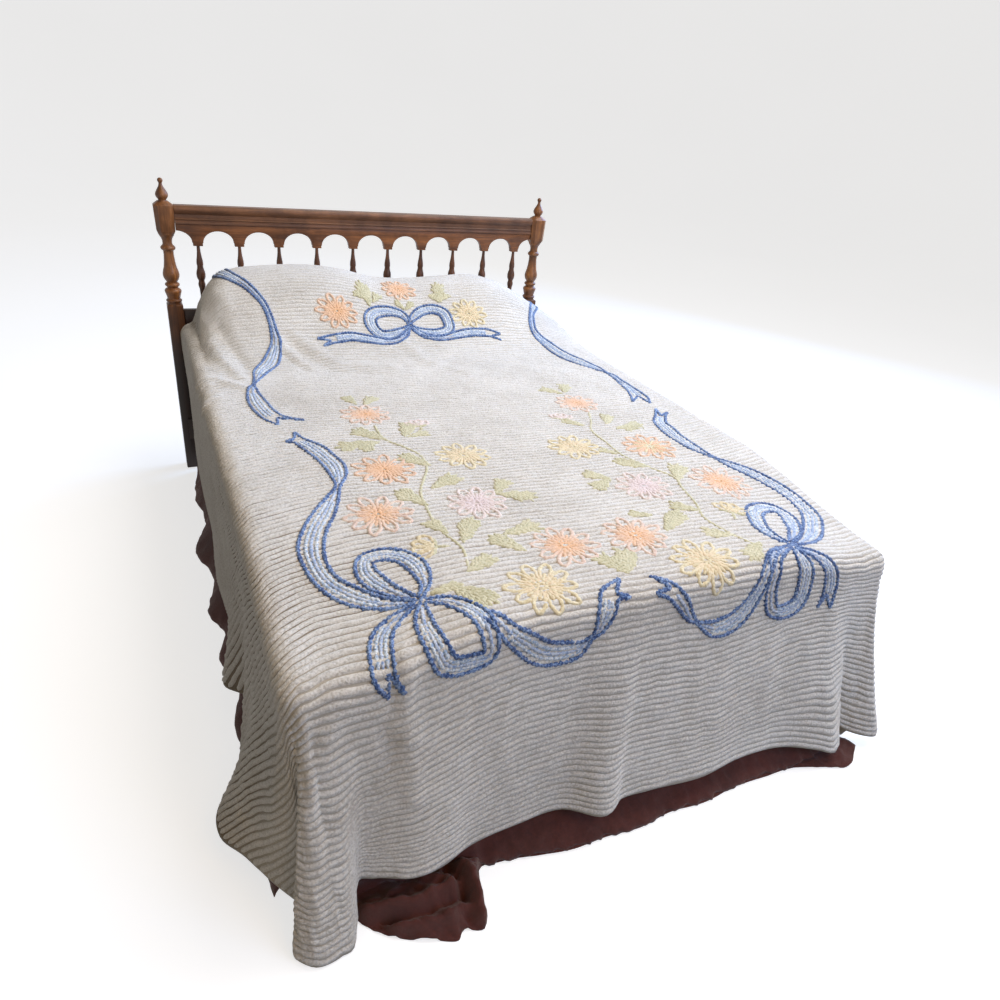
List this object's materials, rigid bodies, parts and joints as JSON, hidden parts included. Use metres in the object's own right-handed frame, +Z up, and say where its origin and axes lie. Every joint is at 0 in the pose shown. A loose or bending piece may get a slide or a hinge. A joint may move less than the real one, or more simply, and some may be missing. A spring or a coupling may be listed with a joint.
{
  "type": "chenille bedspread on a double bed",
  "caption": "Ribbed chenille bedspread with tufted flowers and ribbon bows, draped over pillows, mattress, skirted box spring and a bed with a spindle headboard.",
  "frame": {"origin": "on the floor, at the middle of the whole bed's footprint", "axes": "+Z up, +Y towards the headboard, +X to the right of someone who stands at the foot and looks at the headboard"},
  "size_m": [1.6305, 2.1341, 1.048],
  "materials": {
    "chenille": "soft cotton chenille in close rows",
    "skirt_cloth": "plain matte cotton, maroon",
    "ticking": "plain off-white ticking",
    "pillow_cloth": "plain white cotton",
    "brown_wood": "stained and satin varnished",
    "dark_wood": "dark stained",
    "steel": "dark satin paint"
  },
  "bodies": {
    "root": {"bedspread": "chenille", "skirt_left": "skirt_cloth", "skirt_right": "skirt_cloth", "skirt_foot": "skirt_cloth", "mattress": "ticking", "box_spring": "ticking", "frame_rail_left": "steel", "frame_rail_right": "steel", "frame_bracket_left": "steel", "frame_bracket_right": "steel", "frame_cross_head": "steel", "frame_cross_foot": "steel", "frame_leg_head_left": "steel", "frame_leg_head_right": "steel", "frame_leg_foot_left": "steel", "frame_leg_foot_right": "steel", "pillow_left": "pillow_cloth", "pillow_right": "pillow_cloth", "headboard_post_left": "brown_wood", "headboard_post_right": "brown_wood", "spindle_01": "brown_wood", "spindle_02": "brown_wood", "spindle_03": "brown_wood", "spindle_04": "brown_wood", "spindle_05": "brown_wood", "spindle_06": "brown_wood", "spindle_07": "brown_wood", "spindle_08": "brown_wood", "spindle_09": "brown_wood", "spindle_10": "brown_wood", "headboard_apron": "brown_wood", "headboard_top_rail": "brown_wood", "headboard_board": "dark_wood"}
  },
  "joints": []
}
